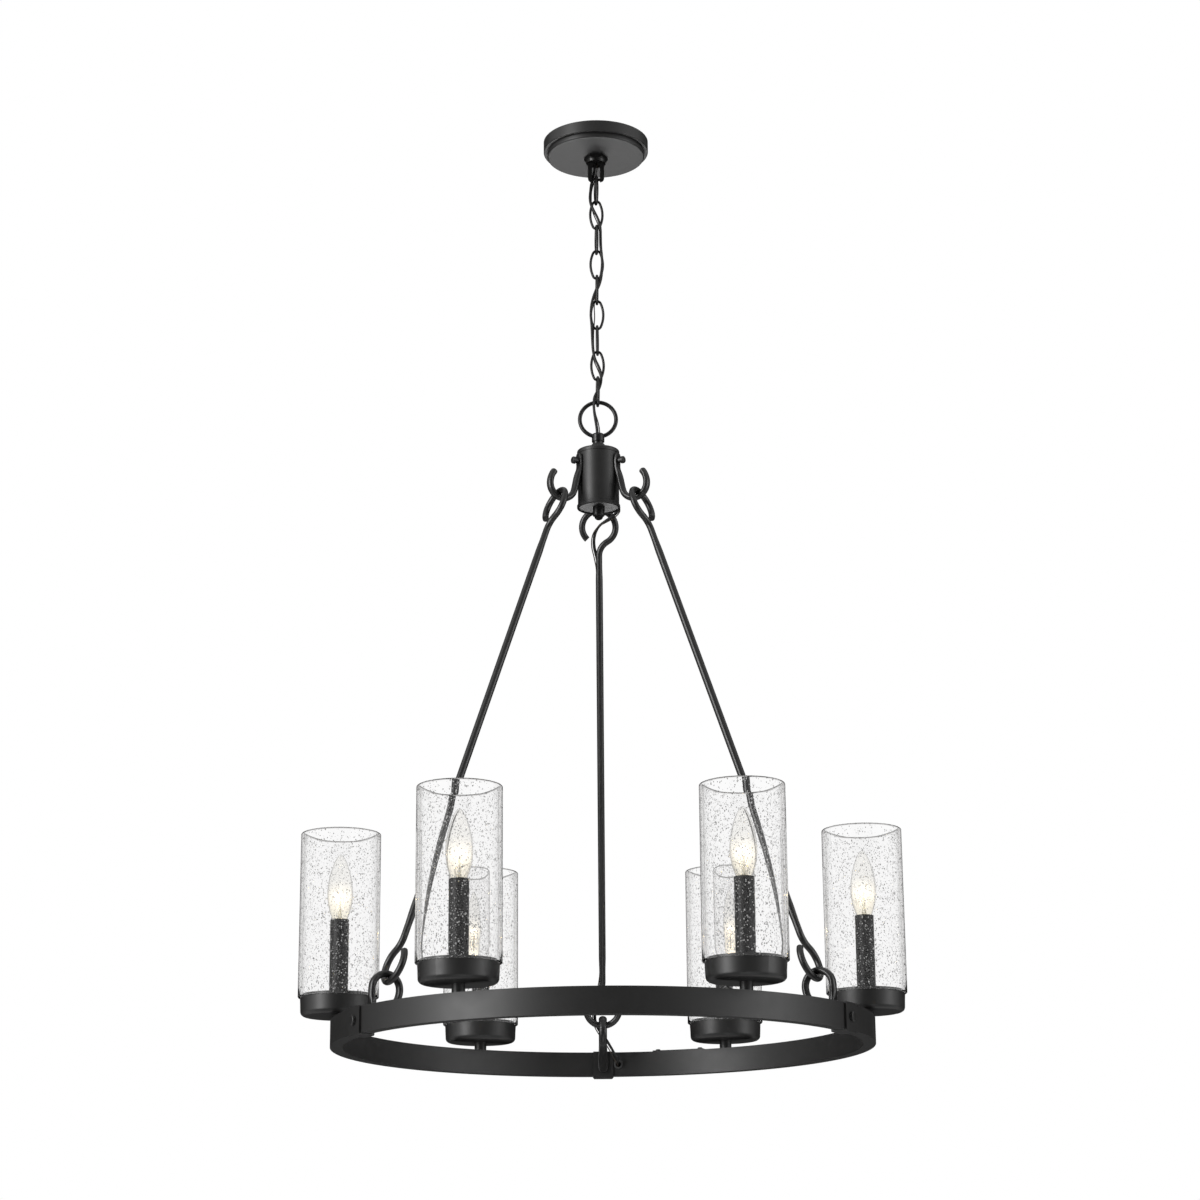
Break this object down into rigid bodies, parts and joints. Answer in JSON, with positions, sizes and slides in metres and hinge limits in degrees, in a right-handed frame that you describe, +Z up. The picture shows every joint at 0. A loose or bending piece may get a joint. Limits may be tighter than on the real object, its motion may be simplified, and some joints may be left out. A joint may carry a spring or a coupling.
{
  "type": "outdoor chandelier",
  "caption": "Chain-hung ring chandelier in matte black: straight rods with open eyes hang a flat ring that carries candle lights in tall seeded-glass cylinders.",
  "frame": {"origin": "centre of the mounting strap's upper face, on the plane of the ceiling", "axes": "+Z up along the suspension, out of the ceiling box; +X along the mounting strap's slots; +Y towards the back rod"},
  "size_m": [0.7656, 0.6867, 1.2375],
  "materials": {
    "black_powder": "matte black powder coat with a very fine texture",
    "zinc_steel": "zinc-plated steel",
    "seeded_glass": "clear glass full of small seed bubbles",
    "bulb_glass": "clear lamp glass",
    "cord_black": "smooth black cord sheath",
    "ground_wire": "dark bare stranded wire",
    "socket_white": "pale lamp socket",
    "grommet_black": "soft black bush"
  },
  "bodies": {
    "ceiling": {"mounting_strap": "zinc_steel", "strap_fasteners": "zinc_steel", "ceiling_nipple": "zinc_steel", "canopy_loop": "black_powder", "chain_cord": "cord_black", "chain_ground_wire": "ground_wire"},
    "canopy": {"canopy": "black_powder"},
    "collar": {"collar_nut": "black_powder"},
    "link_1": {"chain_link_1": "black_powder"},
    "link_2": {"chain_link_2": "black_powder"},
    "link_3": {"chain_link_3": "black_powder"},
    "link_4": {"chain_link_4": "black_powder"},
    "link_5": {"chain_link_5": "black_powder"},
    "link_6": {"chain_link_6": "black_powder"},
    "link_7": {"chain_link_7": "black_powder"},
    "link_8": {"chain_link_8": "black_powder"},
    "link_9": {"chain_link_9": "black_powder"},
    "hub": {"hub_loop": "black_powder", "hub_lid": "black_powder", "hub_barrel": "black_powder", "hub_bottom_plate": "black_powder", "hub_nipple": "zinc_steel", "hub_cap_nut": "black_powder", "hub_bolts": "black_powder", "wire_splices": "zinc_steel", "hub_hook_back": "black_powder", "hub_hook_left": "black_powder", "hub_hook_right": "black_powder", "ring_cord": "cord_black", "ring_ground_wire": "ground_wire"},
    "ring": {"ring_tube": "black_powder", "wiring_cover": "black_powder", "cover_screws": "black_powder", "ring_clips": "black_powder", "ring_bolts": "black_powder", "ring_hook_back": "black_powder", "ring_hook_left": "black_powder", "ring_hook_right": "black_powder", "cord_grommet": "grommet_black", "ring_harness": "cord_black", "candle_stems": "black_powder", "candle_nipples": "zinc_steel", "candle_cups": "black_powder", "candle_sleeves": "black_powder", "candle_sockets": "socket_white"},
    "rod_back": {"rod_back": "black_powder"},
    "rod_left": {"rod_left": "black_powder"},
    "rod_right": {"rod_right": "black_powder"},
    "glass_1": {"glass_shade_1": "seeded_glass"},
    "bulb_1": {"bulb_1": "bulb_glass"},
    "glass_2": {"glass_shade_2": "seeded_glass"},
    "bulb_2": {"bulb_2": "bulb_glass"},
    "glass_3": {"glass_shade_3": "seeded_glass"},
    "bulb_3": {"bulb_3": "bulb_glass"},
    "glass_4": {"glass_shade_4": "seeded_glass"},
    "bulb_4": {"bulb_4": "bulb_glass"},
    "glass_5": {"glass_shade_5": "seeded_glass"},
    "bulb_5": {"bulb_5": "bulb_glass"},
    "glass_6": {"glass_shade_6": "seeded_glass"},
    "bulb_6": {"bulb_6": "bulb_glass"}
  },
  "joints": [
    {"name": "canopy_drop", "type": "slide", "parent": "ceiling", "child": "canopy", "axis": [0, 0, -1], "range_m": [0, 0.03]},
    {"name": "collar_turn", "type": "hinge", "parent": "canopy", "child": "collar", "pos_m": [0, 0, -0.027], "axis": [0, 0, 1], "range_deg": [0, 1080]},
    {"name": "link_1_swing", "type": "hinge", "parent": "ceiling", "child": "link_1", "pos_m": [0, 0, -0.0547], "axis": [1, 0, 0], "range_deg": [-12, 12], "deforming": ["chain_cord", "chain_ground_wire"]},
    {"name": "link_2_swing", "type": "hinge", "parent": "link_1", "child": "link_2", "pos_m": [0, 0, -0.0907], "axis": [-0.2079, 0.9781, 0], "range_deg": [-12, 12], "deforming": ["chain_cord", "chain_ground_wire"]},
    {"name": "link_3_swing", "type": "hinge", "parent": "link_2", "child": "link_3", "pos_m": [0, 0, -0.1272], "axis": [1, 0, 0], "range_deg": [-12, 12], "deforming": ["chain_cord", "chain_ground_wire"]},
    {"name": "link_4_swing", "type": "hinge", "parent": "link_3", "child": "link_4", "pos_m": [0, 0, -0.1637], "axis": [-0.1392, 0.9903, 0], "range_deg": [-12, 12], "deforming": ["chain_cord", "chain_ground_wire"]},
    {"name": "link_5_swing", "type": "hinge", "parent": "link_4", "child": "link_5", "pos_m": [0, 0, -0.2002], "axis": [1, 0, 0], "range_deg": [-12, 12], "deforming": ["chain_cord", "chain_ground_wire"]},
    {"name": "link_6_swing", "type": "hinge", "parent": "link_5", "child": "link_6", "pos_m": [0, 0, -0.2367], "axis": [-0.0698, 0.9976, 0], "range_deg": [-12, 12], "deforming": ["chain_cord", "chain_ground_wire"]},
    {"name": "link_7_swing", "type": "hinge", "parent": "link_6", "child": "link_7", "pos_m": [0, 0, -0.2732], "axis": [1, 0, 0], "range_deg": [-12, 12], "deforming": ["chain_cord", "chain_ground_wire"]},
    {"name": "link_8_swing", "type": "hinge", "parent": "link_7", "child": "link_8", "pos_m": [0, 0, -0.3097], "axis": [0.0698, 0.9976, 0], "range_deg": [-12, 12], "deforming": ["chain_cord", "chain_ground_wire"]},
    {"name": "link_9_swing", "type": "hinge", "parent": "link_8", "child": "link_9", "pos_m": [0, 0, -0.3462], "axis": [1, 0, 0], "range_deg": [-12, 12], "deforming": ["chain_cord", "chain_ground_wire"]},
    {"name": "hub_swing", "type": "hinge", "parent": "link_9", "child": "hub", "pos_m": [0, 0, -0.3827], "axis": [-0.1392, 0.9903, 0], "range_deg": [-12, 12], "deforming": ["chain_cord", "chain_ground_wire"]},
    {"name": "ring_twist", "type": "hinge", "parent": "hub", "child": "ring", "pos_m": [0, 0, -1.21904], "axis": [0, 0, 1], "range_deg": [-5, 5], "deforming": ["ring_cord", "ring_ground_wire"]},
    {"name": "rod_back_swing", "type": "hinge", "parent": "hub", "child": "rod_back", "pos_m": [0, 0.06086, -0.51935], "axis": [0, 0.9397, 0.3419], "range_deg": [-2.2, 2.2], "deforming": ["ring_cord", "ring_ground_wire"]},
    {"name": "rod_left_swing", "type": "hinge", "parent": "hub", "child": "rod_left", "pos_m": [-0.0527, -0.03043, -0.51935], "axis": [-0.8138, -0.4699, 0.3419], "range_deg": [-2.2, 2.2], "deforming": ["ring_cord", "ring_ground_wire"]},
    {"name": "rod_right_swing", "type": "hinge", "parent": "hub", "child": "rod_right", "pos_m": [0.0527, -0.03043, -0.51935], "axis": [0.8138, -0.4699, 0.3419], "range_deg": [-2.2, 2.2], "deforming": ["ring_cord", "ring_ground_wire"]},
    {"name": "glass_lift_1", "type": "slide", "parent": "ring", "child": "glass_1", "axis": [0, 0, 1], "range_m": [0, 0.21]},
    {"name": "bulb_turn_1", "type": "hinge", "parent": "ring", "child": "bulb_1", "pos_m": [0.33205, 0, -1.08124], "axis": [0, 0, 1], "range_deg": [0, 1080]},
    {"name": "glass_lift_2", "type": "slide", "parent": "ring", "child": "glass_2", "axis": [0, 0, 1], "range_m": [0, 0.21]},
    {"name": "bulb_turn_2", "type": "hinge", "parent": "ring", "child": "bulb_2", "pos_m": [0.16603, 0.28756, -1.08124], "axis": [0, 0, 1], "range_deg": [0, 1080]},
    {"name": "glass_lift_3", "type": "slide", "parent": "ring", "child": "glass_3", "axis": [0, 0, 1], "range_m": [0, 0.21]},
    {"name": "bulb_turn_3", "type": "hinge", "parent": "ring", "child": "bulb_3", "pos_m": [-0.16603, 0.28756, -1.08124], "axis": [0, 0, 1], "range_deg": [0, 1080]},
    {"name": "glass_lift_4", "type": "slide", "parent": "ring", "child": "glass_4", "axis": [0, 0, 1], "range_m": [0, 0.21]},
    {"name": "bulb_turn_4", "type": "hinge", "parent": "ring", "child": "bulb_4", "pos_m": [-0.33205, 0, -1.08124], "axis": [0, 0, 1], "range_deg": [0, 1080]},
    {"name": "glass_lift_5", "type": "slide", "parent": "ring", "child": "glass_5", "axis": [0, 0, 1], "range_m": [0, 0.21]},
    {"name": "bulb_turn_5", "type": "hinge", "parent": "ring", "child": "bulb_5", "pos_m": [-0.16603, -0.28756, -1.08124], "axis": [0, 0, 1], "range_deg": [0, 1080]},
    {"name": "glass_lift_6", "type": "slide", "parent": "ring", "child": "glass_6", "axis": [0, 0, 1], "range_m": [0, 0.21]},
    {"name": "bulb_turn_6", "type": "hinge", "parent": "ring", "child": "bulb_6", "pos_m": [0.16603, -0.28756, -1.08124], "axis": [0, 0, 1], "range_deg": [0, 1080]}
  ],
  "couplings": [
    {"joint": "rod_back_swing", "follows": "ring_twist", "ratio": 0.4309},
    {"joint": "rod_left_swing", "follows": "ring_twist", "ratio": 0.4309},
    {"joint": "rod_right_swing", "follows": "ring_twist", "ratio": 0.4309}
  ]
}
